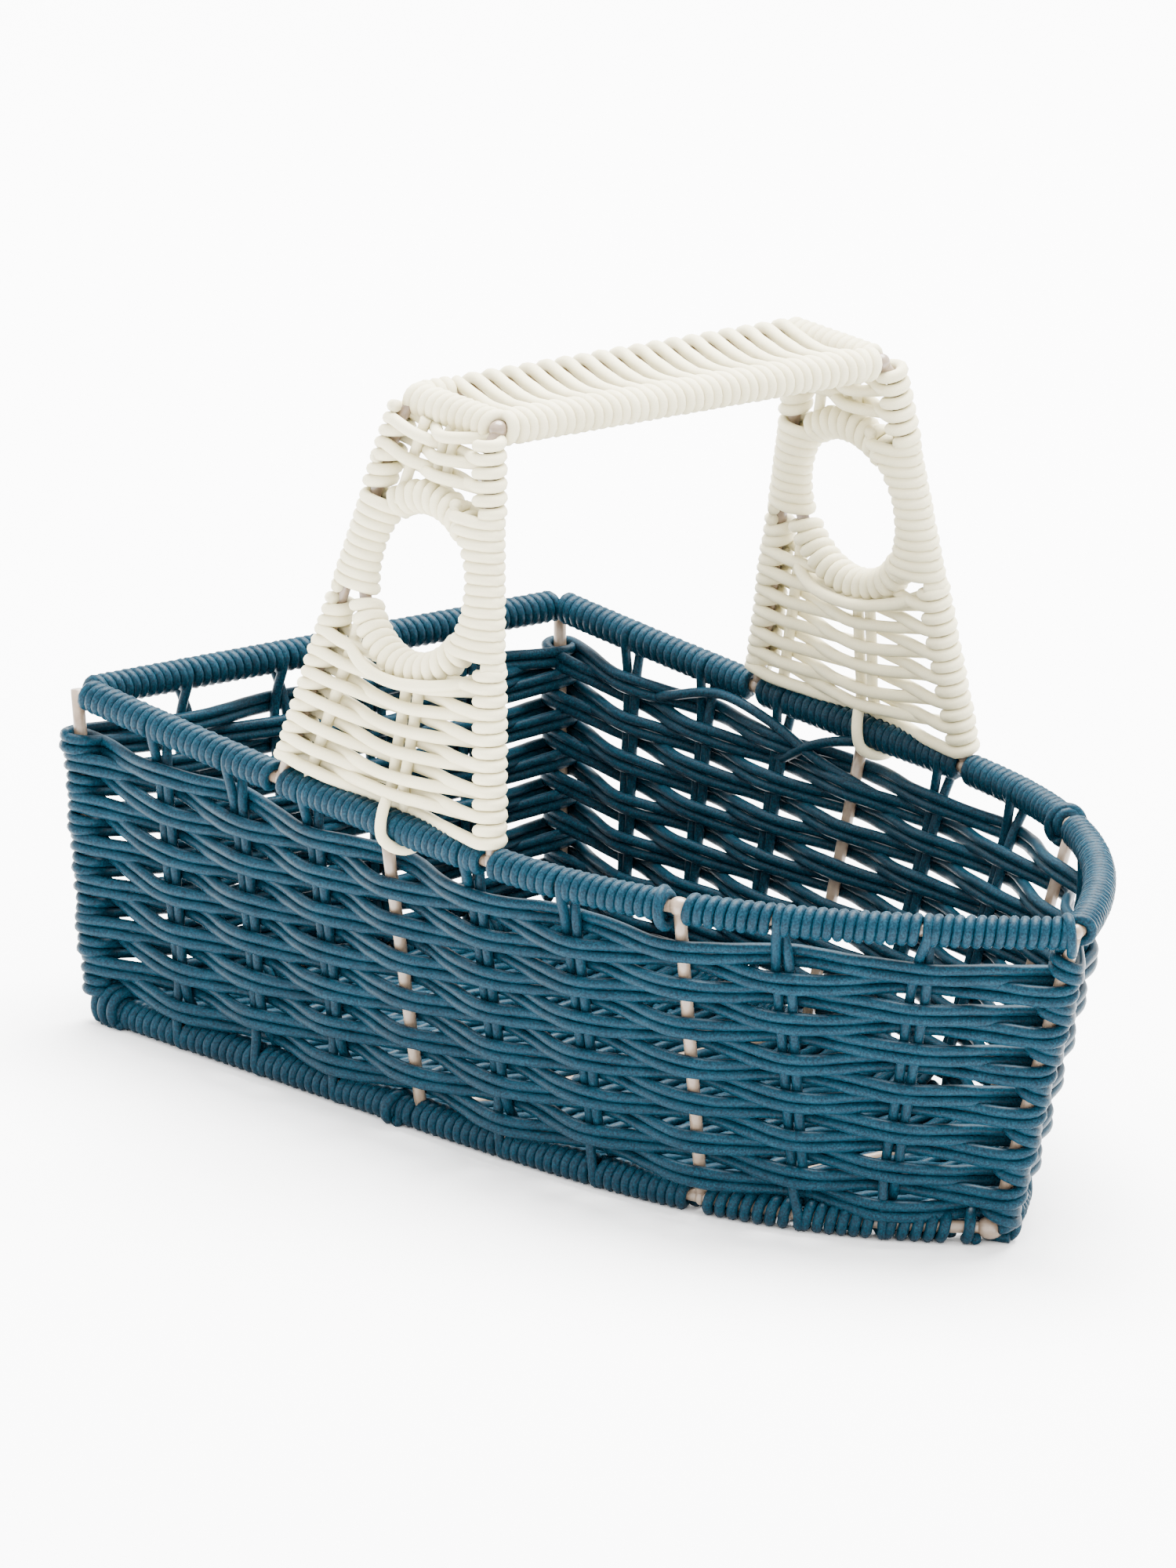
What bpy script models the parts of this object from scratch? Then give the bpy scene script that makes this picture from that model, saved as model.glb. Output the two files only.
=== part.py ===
"""Boat-shaped wicker caddy: a welded wire frame, a blue woven hull and a cream woven handle.

Metres, +Z up, +X towards the pointed bow, +Y to port. The caddy stands on Z = 0.
"""
from math import cos, hypot, pi, radians, sin

import bmesh
import bpy
from mathutils import Matrix, Vector

# Strand and wire sizes
WIRE_RADIUS = 0.0020
STRAND = 0.0030                       # diameter of one resin strand
WRAP_RADIUS = WIRE_RADIUS + STRAND    # outside of a wrapped wire
GAP = 0.0004                          # clearance between touching pieces
CLEAR = WRAP_RADIUS + GAP             # from a wire's centre to what lies against its wrap

# Hull: stations are measured from the mid posts and moved so that the box is centred
HULL_SHIFT = -0.02763
RIM_HEIGHT = 0.1033
SHEER_RISE = 0.0042                   # how far the rim rises at stern and bow
SHEER_LOW = 0.020                     # station of the rim's lowest point
SHEER_REACH = 0.185
BASE_HEIGHT = WRAP_RADIUS
RIM_STERN = -0.1500
RIM_BOW = 0.2096
RIM_WIDTH = 0.0998                    # half the beam along the straight stretch
RIM_BEND = 0.020                      # station where the side starts to curve in
RIM_POWER = 2.6
BASE_STERN = -0.1353
BASE_BOW = 0.1827
BASE_WIDTH = 0.0959
BASE_TAPER = 0.35
BASE_POWER = 7
CORNER_BEND = 0.005                   # bend radius of the rim and base wires
MID_POST_RIM = 0.0
MID_POST_BASE = 0.0019
FORE_POST_RIM = 0.1180
FORE_POST_BASE = 0.1109

# Handle
LEG_AFT_FOOT = -0.0510
LEG_FORE_FOOT = 0.0495
LEG_AFT_TOP = -0.0206
LEG_FORE_TOP = 0.0193
HANDLE_TOP = 0.2323
HANDLE_TOP_WIDTH = 0.0831
HOOP_BEND = 0.008
CROSS_ROD_INSET = 0.0050
RING_RADIUS = 0.0270
RING_UP = 0.0767                      # ring centre above the rim, along the side panel
SIDE_THICKNESS = 0.0060
WEAVE_THICKNESS = 0.0090
FLOOR_THICKNESS = 0.0080

TUBE_RESOLUTION = 2
SIDES = {"starboard": -1, "port": 1}

for old in list(bpy.data.objects):
    bpy.data.objects.remove(old)
parts = bpy.data.collections.new("wicker_caddy")
bpy.context.scene.collection.children.link(parts)


def finish(name, colour, roughness, metallic=0.0):
    """A plain Principled material."""
    material = bpy.data.materials.new(name)
    material.use_nodes = True
    shader = material.node_tree.nodes["Principled BSDF"]
    shader.inputs["Base Color"].default_value = (*colour, 1.0)
    shader.inputs["Roughness"].default_value = roughness
    shader.inputs["Metallic"].default_value = metallic
    material.diffuse_color = (*colour, 1.0)
    return material


TAN_PAINT = finish("tan_paint", (0.58, 0.47, 0.37), 0.35, 0.1)
BLUE_STRAND = finish("blue_strand", (0.022, 0.115, 0.200), 0.45)
CREAM_STRAND = finish("cream_strand", (0.80, 0.77, 0.66), 0.50)


def place(name, data, material, matrix=None):
    """Put a mesh or curve in the parts collection as one named object."""
    piece = bpy.data.objects.new(name, data)
    data.materials.append(material)
    if matrix is not None:
        piece.matrix_world = matrix
    parts.objects.link(piece)
    return piece


def tube_curve(name, points, radius, closed=False, caps=True):
    curve = bpy.data.curves.new(name, "CURVE")
    curve.dimensions = "3D"
    curve.bevel_depth = radius
    curve.bevel_resolution = TUBE_RESOLUTION
    curve.use_fill_caps = caps and not closed
    spline = curve.splines.new("POLY")
    spline.points.add(len(points) - 1)
    for point, place_at in zip(spline.points, points):
        point.co = (*place_at, 1.0)
    spline.use_cyclic_u = closed
    spline.use_smooth = True
    return curve


def wire(name, points, closed=False):
    """A painted steel wire along a route."""
    return place(name, tube_curve(name, points, WIRE_RADIUS, closed), TAN_PAINT)


def sleeve(name, points, material):
    """The outer shape of one strand wound tightly round a wire: a hollow tube."""
    piece = place(name, tube_curve(name, points, WRAP_RADIUS, caps=False), material)
    shell = piece.modifiers.new("hollow", "SOLIDIFY")
    shell.thickness = STRAND - GAP
    shell.offset = -1.0
    return piece


def outline_sheet(name, outlines, thickness, material, matrix):
    """A flat piece from closed outlines in its own plane; the second outline is a hole."""
    curve = bpy.data.curves.new(name, "CURVE")
    curve.dimensions = "2D"
    curve.fill_mode = "BOTH"
    curve.extrude = thickness / 2
    for points in outlines:
        spline = curve.splines.new("POLY")
        spline.points.add(len(points) - 1)
        for point, (across, up) in zip(spline.points, points):
            point.co = (across, up, 0.0, 1.0)
        spline.use_cyclic_u = True
    return place(name, curve, material, matrix)


def spread(start, end, count):
    """Evenly spaced values from start to end."""
    return [start + (end - start) * index / (count - 1) for index in range(count)]


def rounded(points, corners, radius, steps=4):
    """Replace the numbered corner points of a route by short bends."""
    result = []
    last = len(points)
    for index, point in enumerate(points):
        if index not in corners:
            result.append(point)
            continue
        before = points[(index - 1) % last] - point
        after = points[(index + 1) % last] - point
        half = before.angle(after) / 2
        reach = radius * cos(half) / sin(half)
        start = point + before.normalized() * reach
        end = point + after.normalized() * reach
        middle = (before.normalized() + after.normalized()).normalized()
        centre = point + middle * (radius / sin(half))
        for share in spread(0.0, 1.0, steps + 1):
            chord = start.lerp(end, share) - centre
            result.append(centre + chord.normalized() * radius)
    return result


# Hull lines -----------------------------------------------------------------

def rim_half_width(station):
    share = max(0.0, (station - RIM_BEND) / (RIM_BOW - RIM_BEND))
    return RIM_WIDTH * (1.0 - share ** RIM_POWER)


def base_half_width(station):
    share = (station - BASE_STERN) / (BASE_BOW - BASE_STERN)
    return BASE_WIDTH * (1.0 - BASE_TAPER * share - (1.0 - BASE_TAPER) * share ** BASE_POWER)


def rim_point(station, side):
    rise = SHEER_RISE * ((station - SHEER_LOW) / SHEER_REACH) ** 2
    return Vector((station + HULL_SHIFT, side * rim_half_width(station), RIM_HEIGHT + rise))


def base_point(station, side):
    return Vector((station + HULL_SHIFT, side * base_half_width(station), BASE_HEIGHT))


def trimmed(points, start, end):
    """Shorten a route by a length at each end."""
    points = list(points)
    points[0] = points[0] + (points[1] - points[0]).normalized() * start
    points[-1] = points[-1] + (points[-2] - points[-1]).normalized() * end
    return points


def side_route(point_at, start, end, side, count):
    return [point_at(station, side) for station in spread(start, end, count)]


# Stretches between welds, from stern to bow: name, first and last station, points
RIM_STRETCHES = (("aft", RIM_STERN, LEG_AFT_FOOT, 3), ("mid", LEG_AFT_FOOT, LEG_FORE_FOOT, 4),
                 ("fore", LEG_FORE_FOOT, FORE_POST_RIM, 5), ("bow", FORE_POST_RIM, RIM_BOW, 7))
BASE_STRETCHES = (("aft", BASE_STERN, MID_POST_BASE, 4), ("mid", MID_POST_BASE, FORE_POST_BASE, 6),
                  ("bow", FORE_POST_BASE, BASE_BOW, 8))


def loop_route(point_at, stretches):
    """A closed wire: straight across the stern, along both sides to the bow."""
    port = []
    for _, start, end, count in stretches:
        port += side_route(point_at, start, end, 1, count)[len(port) > 0:]
    starboard = [Vector((point.x, -point.y, point.z)) for point in reversed(port[:-1])]
    points = port + starboard
    return rounded(points, {0, len(port) - 1, len(points) - 1}, CORNER_BEND)


wire("top_rim_wire", loop_route(rim_point, RIM_STRETCHES), closed=True)
wire("base_rim_wire", loop_route(base_point, BASE_STRETCHES), closed=True)

# Upright posts and floor wires ------------------------------------------------

POST_TRIM = 2 * WIRE_RADIUS + GAP
BEND_OFFSET = 0.0018                  # the stern posts stand just outside the bent corners
for name, side in SIDES.items():
    outside = Vector((-BEND_OFFSET, side * BEND_OFFSET, 0.0))
    foot = base_point(BASE_STERN, side) + outside
    head = rim_point(RIM_STERN, side) + outside
    wire(f"stern_post_{name}", [foot, head + Vector((0.0, 0.0, WIRE_RADIUS))])
    # the rim's winding runs on over the mid post and stops at the fore post
    for post, low, high, head_trim in (("mid", MID_POST_BASE, MID_POST_RIM, CLEAR + GAP),
                                       ("fore", FORE_POST_BASE, FORE_POST_RIM, POST_TRIM)):
        ends = [base_point(low, side), rim_point(high, side)]
        wire(f"{post}_post_{name}", trimmed(ends, POST_TRIM, head_trim))
bow_ends = [base_point(BASE_BOW, 1), rim_point(RIM_BOW, 1)]
wire("bow_post", trimmed([end - Vector((0.0012, 0, 0)) for end in bow_ends], POST_TRIM, POST_TRIM))
for name, station in (("mid", MID_POST_BASE), ("fore", FORE_POST_BASE)):
    across = [base_point(station, -1), base_point(station, 1)]
    wire(f"{name}_floor_wire", trimmed(across, POST_TRIM, POST_TRIM))

# Wound strands round the rim and the base ------------------------------------

WELD_BREAK = 0.0046                   # bare wire left at each side of a post or leg
CORNER_BREAK = 0.0066
for ring, point_at, stretches in (("rim", rim_point, RIM_STRETCHES),
                                  ("base", base_point, BASE_STRETCHES)):
    stern = stretches[0][1]
    across = [point_at(stern, -1), point_at(stern, 1)]
    sleeve(f"{ring}_wrap_stern", trimmed(across, CORNER_BREAK, CORNER_BREAK), BLUE_STRAND)
    for name, side in SIDES.items():
        for stretch, start, end, count in stretches:
            first = CORNER_BREAK if stretch == "aft" else WELD_BREAK
            last = CORNER_BREAK if stretch == "bow" else WELD_BREAK
            route = side_route(point_at, start, end, side, count)
            sleeve(f"{ring}_wrap_{name}_{stretch}", trimmed(route, first, last), BLUE_STRAND)


# Woven hull ------------------------------------------------------------------

def hull_panel(name, corner_at, columns, rows=3):
    """A woven wall: an open ruled surface with an even thickness."""
    mesh = bpy.data.meshes.new(name)
    grid = bmesh.new()
    bmesh.ops.create_grid(grid, x_segments=columns, y_segments=rows, size=1.0)
    for vertex in grid.verts:
        along = (vertex.co.x + 1.0) / 2
        up = (vertex.co.y + 1.0) / 2
        low, high = corner_at(along)
        rise = (high - low).normalized()
        vertex.co = (low + rise * CLEAR).lerp(high - rise * CLEAR, up)
    grid.to_mesh(mesh)
    grid.free()
    panel = place(name, mesh, BLUE_STRAND)
    wall = panel.modifiers.new("wall", "SOLIDIFY")
    wall.thickness = WEAVE_THICKNESS
    wall.offset = 0.0
    return panel


def side_bay(side, base_span, rim_span, margins):
    """Corner lines of one bay between two posts."""
    base_from, base_to = base_span
    rim_from, rim_to = rim_span
    first, last = margins

    def corner_at(along):
        low = base_from + first + (base_to - base_from - first - last) * along
        high = rim_from + first + (rim_to - rim_from - first - last) * along
        return base_point(low, side), rim_point(high, side)
    return corner_at


POST_MARGIN = WIRE_RADIUS + 2 * GAP
BOW_MARGIN = 0.0052
for name, side in SIDES.items():
    bays = (("aft", (BASE_STERN, MID_POST_BASE), (RIM_STERN, MID_POST_RIM),
             (CORNER_BREAK, POST_MARGIN), 3),
            ("mid", (MID_POST_BASE, FORE_POST_BASE), (MID_POST_RIM, FORE_POST_RIM),
             (POST_MARGIN, POST_MARGIN), 5),
            ("bow", (FORE_POST_BASE, BASE_BOW), (FORE_POST_RIM, RIM_BOW),
             (POST_MARGIN, BOW_MARGIN), 7))
    for bay, base_span, rim_span, margins, columns in bays:
        hull_panel(f"hull_weave_{name}_{bay}", side_bay(side, base_span, rim_span, margins), columns)


def stern_bay(along):
    low = base_point(BASE_STERN, 1)
    high = rim_point(RIM_STERN, 1)
    low.y = (2 * along - 1) * (low.y - CORNER_BREAK)
    high.y = (2 * along - 1) * (high.y - CORNER_BREAK)
    return low, high


hull_panel("hull_weave_stern", stern_bay, 3)


def floor_half_width(station):
    """Inside of the base wrap, square to the side."""
    step = 0.001
    slope = (base_half_width(station) - base_half_width(station - step)) / step
    return base_half_width(station) - (CLEAR + GAP) * hypot(1.0, slope)


def floor_bow():
    """Station where the floor's two sides meet."""
    low, high = FORE_POST_BASE, BASE_BOW
    for _ in range(30):
        middle = (low + high) / 2
        low, high = (middle, high) if floor_half_width(middle) > 0.004 else (low, middle)
    return low


floor_bays = (("aft", BASE_STERN + CLEAR + GAP, MID_POST_BASE - POST_MARGIN, 3),
              ("mid", MID_POST_BASE + POST_MARGIN, FORE_POST_BASE - POST_MARGIN, 6),
              ("bow", FORE_POST_BASE + POST_MARGIN, floor_bow(), 7))
for bay, start, end, count in floor_bays:
    stations = spread(start, end, count)
    edge = [(station + HULL_SHIFT, floor_half_width(station)) for station in stations]
    edge += [(x, -y) for x, y in reversed(edge)]
    middle_height = Matrix.Translation((0.0, 0.0, FLOOR_THICKNESS / 2))
    outline_sheet(f"floor_weave_{bay}", [edge], FLOOR_THICKNESS, BLUE_STRAND, middle_height)

# Handle wires -----------------------------------------------------------------

FOOT_LIFT = 2 * WIRE_RADIUS + 0.0012  # the legs stand on the rim wire


def hoop(name, foot, top):
    points = []
    for side in (-1, 1):
        base = rim_point(foot, side) + Vector((0.0, 0.0, FOOT_LIFT))
        head = Vector((top + HULL_SHIFT, side * HANDLE_TOP_WIDTH, HANDLE_TOP))
        points += [base, head] if side < 0 else [head, base]
    wire(name, rounded(points, {1, 2}, HOOP_BEND))


hoop("aft_handle_hoop", LEG_AFT_FOOT, LEG_AFT_TOP)
hoop("fore_handle_hoop", LEG_FORE_FOOT, LEG_FORE_TOP)
ROD_AFT_END = LEG_AFT_TOP + HULL_SHIFT + POST_TRIM
ROD_FORE_END = LEG_FORE_TOP + HULL_SHIFT - POST_TRIM
for name, side in SIDES.items():
    inset = side * (HANDLE_TOP_WIDTH - CROSS_ROD_INSET)
    rod = [Vector((ROD_AFT_END, inset, HANDLE_TOP)), Vector((ROD_FORE_END, inset, HANDLE_TOP))]
    wire(f"cross_rod_{name}", rod)
    sleeve(f"cross_rod_wrap_{name}", trimmed(rod, GAP, GAP), CREAM_STRAND)

# Handle side panels: each lies in a plane that leans in from the rim to the bar -----

PANEL_RISE = HANDLE_TOP - RIM_HEIGHT
PANEL_LENGTH = hypot(PANEL_RISE, RIM_WIDTH - HANDLE_TOP_WIDTH)
RING_ACROSS = ((LEG_AFT_FOOT + LEG_FORE_FOOT) * (1 - RING_UP / PANEL_LENGTH)
               + (LEG_AFT_TOP + LEG_FORE_TOP) * RING_UP / PANEL_LENGTH) / 2


def side_plane(side):
    """Panel frame: first axis along the hull, second up the leaning panel."""
    along = Vector((1.0, 0.0, 0.0))
    up = Vector((0.0, side * (HANDLE_TOP_WIDTH - RIM_WIDTH), PANEL_RISE)).normalized()
    frame = Matrix((along, up, along.cross(up))).transposed().to_4x4()
    return Matrix.Translation((HULL_SHIFT, side * RIM_WIDTH, RIM_HEIGHT)) @ frame


def ring_arc(from_degrees, to_degrees, count, radius=RING_RADIUS):
    """Points round the porthole, counted from the bow side, in panel coordinates."""
    angles = [radians(angle) for angle in spread(from_degrees, to_degrees, count)]
    return [(RING_ACROSS + radius * cos(angle), RING_UP + radius * sin(angle)) for angle in angles]


def leg_inside(up, end):
    """Edge of the weave against a leg's wrap, at a height up the panel."""
    share = up / PANEL_LENGTH
    if end == "aft":
        return LEG_AFT_FOOT + (LEG_AFT_TOP - LEG_AFT_FOOT) * share + CLEAR + 2 * GAP
    return LEG_FORE_FOOT + (LEG_FORE_TOP - LEG_FORE_FOOT) * share - CLEAR - 2 * GAP


RING_STEPS = 24
ARC_OUTSIDE = RING_RADIUS + CLEAR
LOWER_FOOT = 0.0066
LOWER_SHOULDER = 0.0560
UPPER_SHOULDER = 0.1110
UPPER_HEAD = 0.1205
LEG_WRAP_TOP = 0.0640
for name, side in SIDES.items():
    plane = side_plane(side)

    def in_plane(points):
        return [plane @ Vector((across, up, 0.0)) for across, up in points]

    ring = ring_arc(0.0, 360.0 * (RING_STEPS - 1) / RING_STEPS, RING_STEPS)
    wire(f"porthole_ring_{name}", in_plane(ring), closed=True)
    sleeve(f"porthole_wrap_{name}_lower", in_plane(ring_arc(212.0, 328.0, 9)), CREAM_STRAND)
    sleeve(f"porthole_wrap_{name}_upper", in_plane(ring_arc(58.0, 122.0, 6)), CREAM_STRAND)

    lower = [(leg_inside(LOWER_FOOT, "aft"), LOWER_FOOT), (leg_inside(LOWER_FOOT, "fore"), LOWER_FOOT),
             (leg_inside(LOWER_SHOULDER, "fore"), LOWER_SHOULDER)]
    lower += ring_arc(318.0, 222.0, 9, ARC_OUTSIDE)
    lower += [(leg_inside(LOWER_SHOULDER, "aft"), LOWER_SHOULDER)]
    outline_sheet(f"handle_lower_weave_{name}", [lower], SIDE_THICKNESS, CREAM_STRAND, plane)

    upper = [(leg_inside(UPPER_HEAD, "fore"), UPPER_HEAD), (leg_inside(UPPER_HEAD, "aft"), UPPER_HEAD),
             (leg_inside(UPPER_SHOULDER, "aft"), UPPER_SHOULDER - 0.006)]
    upper += ring_arc(112.0, 68.0, 5, ARC_OUTSIDE)
    upper += [(leg_inside(UPPER_SHOULDER, "fore"), UPPER_SHOULDER - 0.006)]
    outline_sheet(f"handle_upper_weave_{name}", [upper], SIDE_THICKNESS, CREAM_STRAND, plane)

    for end, foot, top in (("aft", LEG_AFT_FOOT, LEG_AFT_TOP), ("fore", LEG_FORE_FOOT, LEG_FORE_TOP)):
        start = rim_point(foot, side) + Vector((0.0, 0.0, FOOT_LIFT))
        head = Vector((top + HULL_SHIFT, side * HANDLE_TOP_WIDTH, HANDLE_TOP))
        route = [start.lerp(head, share) for share in (0.03, LEG_WRAP_TOP / PANEL_LENGTH)]
        sleeve(f"leg_wrap_{name}_{end}", route, CREAM_STRAND)

# Woven grip: one flattened sleeve round both long rods of the handle ------------


def stadium(radius, half_length, steps=8):
    """Outline with two straight sides and round ends."""
    points = []
    for end, first in ((1, -90.0), (-1, 90.0)):
        for angle in spread(first, first + 180.0, steps + 1):
            points.append((end * half_length + radius * cos(radians(angle)), radius * sin(radians(angle))))
    return points


GRIP_MIDDLE = (LEG_AFT_TOP + LEG_FORE_TOP) / 2 + HULL_SHIFT
GRIP_HALF = (LEG_FORE_TOP - LEG_AFT_TOP) / 2
GRIP_LENGTH = 2 * (HANDLE_TOP_WIDTH - CROSS_ROD_INSET - CLEAR - 2 * GAP)
grip_frame = Matrix.Translation((GRIP_MIDDLE, 0.0, HANDLE_TOP)) @ Matrix.Rotation(pi / 2, 4, "X")
outline_sheet("handle_grip_weave",
              [stadium(WRAP_RADIUS, GRIP_HALF), stadium(WIRE_RADIUS + GAP, GRIP_HALF)],
              GRIP_LENGTH, CREAM_STRAND, grip_frame)
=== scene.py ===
"""Looks of the boat-shaped wicker caddy: every strand is a swept tube on its own woven route."""
from math import cos, hypot, pi, radians, sin

import bpy
import numpy as np
from mathutils import Matrix, Vector


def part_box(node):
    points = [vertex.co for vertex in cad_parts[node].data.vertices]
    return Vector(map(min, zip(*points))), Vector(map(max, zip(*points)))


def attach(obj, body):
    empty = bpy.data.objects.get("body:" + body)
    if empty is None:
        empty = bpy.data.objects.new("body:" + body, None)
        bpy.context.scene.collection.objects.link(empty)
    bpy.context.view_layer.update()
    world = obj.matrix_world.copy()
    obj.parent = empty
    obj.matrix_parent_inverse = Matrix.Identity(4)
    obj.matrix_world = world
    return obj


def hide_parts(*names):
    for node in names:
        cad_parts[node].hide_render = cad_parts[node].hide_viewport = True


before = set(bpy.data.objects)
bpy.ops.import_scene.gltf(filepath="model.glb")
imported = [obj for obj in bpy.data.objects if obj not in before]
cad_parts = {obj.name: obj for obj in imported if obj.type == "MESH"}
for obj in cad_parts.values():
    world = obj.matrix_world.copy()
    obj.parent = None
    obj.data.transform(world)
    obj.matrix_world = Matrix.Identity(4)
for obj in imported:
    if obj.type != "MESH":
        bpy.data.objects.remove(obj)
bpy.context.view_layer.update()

# Sizes ------------

MM = 0.001
WIRE = 2.0 * MM                 # radius of the painted steel wire
BLUE = 1.78 * MM                # radius of the blue resin strand
STAKE = 1.62 * MM               # radius of the thinner upright strands
CREAM = 2.00 * MM               # radius of the cream resin strand
RIM_STRAND = 1.72 * MM          # the strand is drawn tighter in the rim winding
SLOT_HALF = STAKE * 0.95        # half the gap that a winding leaves for a stake's fold
BLUE_TURN = WIRE + BLUE - 0.15 * MM     # strands bite a little into the paint
RIM_TURN = WIRE + RIM_STRAND - 0.10 * MM
CREAM_TURN = WIRE + CREAM - 0.3 * MM
RIM_PITCH = 3.3 * MM            # distances between neighbouring turns of the windings
BASE_PITCHES = (3.4 * MM, 3.4 * MM, 4.0 * MM)
CREAM_PITCH = 3.75 * MM
RING_PITCH = 4.1 * MM
DRAW = np.random.default_rng(7)
X, Y, Z = np.eye(3)


def node_middle(name):
    low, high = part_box(name)
    return [(a + b) / 2 for a, b in zip(low, high)]


# Hull lines: the same outlines as the model's rim and base wires. Stations are measured
# from the mid posts; the frame says where those stand.
RIM_STERN, RIM_BOW, RIM_BEND, RIM_POWER = -0.1500, 0.2096, 0.020, 2.6
BASE_STERN, BASE_BOW, BASE_TAPER, BASE_POWER = -0.1353, 0.1827, 0.35, 7
MID_POST = (0.0019, 0.0)        # stations of its foot and its head
FORE_POST = (0.1109, 0.1180)
LEG_FEET = {"aft": -0.0510, "fore": 0.0495}     # stations of the handle hoops
LEG_TOPS = {"aft": -0.0206, "fore": 0.0193}
SHEER_RISE, SHEER_LOW, SHEER_REACH = 0.0042, 0.020, 0.185
SHIFT = node_middle("rim_wrap_stern")[0] - RIM_STERN
BASE_HEIGHT = node_middle("base_rim_wire")[2]
RIM_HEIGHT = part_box("top_rim_wire")[0][2] + WIRE
RIM_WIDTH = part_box("top_rim_wire")[1][1] - WIRE
BASE_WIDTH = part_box("base_rim_wire")[1][1] - WIRE
HANDLE_TOP = node_middle("handle_grip_weave")[2]
CROSS_ROD_Y = node_middle("cross_rod_port")[1]
HANDLE_WIDTH = CROSS_ROD_Y + 5.0 * MM       # half the width between the hoops' upper bends


def rim_line(station, side):
    """Points of the rim wire's middle at the stations on one side."""
    station = np.asarray(station, float)
    share = np.maximum(0.0, (station - RIM_BEND) / (RIM_BOW - RIM_BEND))
    width = RIM_WIDTH * (1.0 - share ** RIM_POWER)
    rise = SHEER_RISE * ((station - SHEER_LOW) / SHEER_REACH) ** 2
    return np.stack([station + SHIFT, side * width, RIM_HEIGHT + rise], -1)


def base_line(station, side):
    """Points of the base wire's middle at the stations on one side."""
    station = np.asarray(station, float)
    share = (station - BASE_STERN) / (BASE_BOW - BASE_STERN)
    width = BASE_WIDTH * (1.0 - BASE_TAPER * share - (1.0 - BASE_TAPER) * share ** BASE_POWER)
    return np.stack([station + SHIFT, side * width, np.full_like(station, BASE_HEIGHT)], -1)


# Strand tools ------------

def unit(v):
    return v / np.maximum(np.linalg.norm(v, axis=-1, keepdims=True), 1e-12)


def lengths(path):
    steps = np.linalg.norm(np.diff(path, axis=0), axis=1)
    return np.concatenate([[0.0], np.cumsum(steps)])


def read_at(values, known_at, at):
    """Rows of three values, known at some lengths or columns, read at others."""
    return np.stack([np.interp(at, known_at, values[:, k]) for k in range(3)], -1)


def resample(path, step):
    """Points at even spacing along a dense path."""
    run = lengths(path)
    count = max(3, int(round(run[-1] / step)) + 1)
    return read_at(path, run, np.linspace(0.0, run[-1], count))


def smooth_curve(points, step=2.0 * MM):
    """Centripetal Catmull-Rom curve through the points, evenly sampled."""
    p = np.asarray(points, float)
    p = np.concatenate([[2 * p[0] - p[1]], p, [2 * p[-1] - p[-2]]])
    gap = np.maximum(np.linalg.norm(np.diff(p, axis=0), axis=1), 1e-7) ** 0.5
    t = np.linspace(0.0, 1.0, 12, endpoint=False)[:, None]
    pieces = []
    for i in range(1, len(p) - 2):
        before, here, after = gap[i - 1], gap[i], gap[i + 1]
        run = p[i + 1] - p[i]
        came, goes = p[i] - p[i - 1], p[i + 2] - p[i + 1]
        leave = here * (came / before - (p[i + 1] - p[i - 1]) / (before + here) + run / here)
        arrive = here * (run / here - (p[i + 2] - p[i]) / (here + after) + goes / after)
        pieces.append((2 * t ** 3 - 3 * t ** 2 + 1) * p[i] + (t ** 3 - 2 * t ** 2 + t) * leave
                      + (3 * t ** 2 - 2 * t ** 3) * p[i + 1] + (t ** 3 - t ** 2) * arrive)
    dense = np.concatenate(pieces + [p[-2][None]])
    return resample(dense, step)


def wobble(path, amount, wave=30 * MM):
    """Hand-woven unevenness: slow waves across the strand, different for each strand."""
    run = lengths(path)
    shift = np.zeros_like(path)
    for octave in (1.0, 2.3):
        phase = DRAW.uniform(0, 2 * pi, 3)
        size = DRAW.normal(0, 1, 3) * amount / octave
        shift += size * np.sin(run[:, None] * 2 * pi * octave / wave + phase)
    return path + shift


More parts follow.
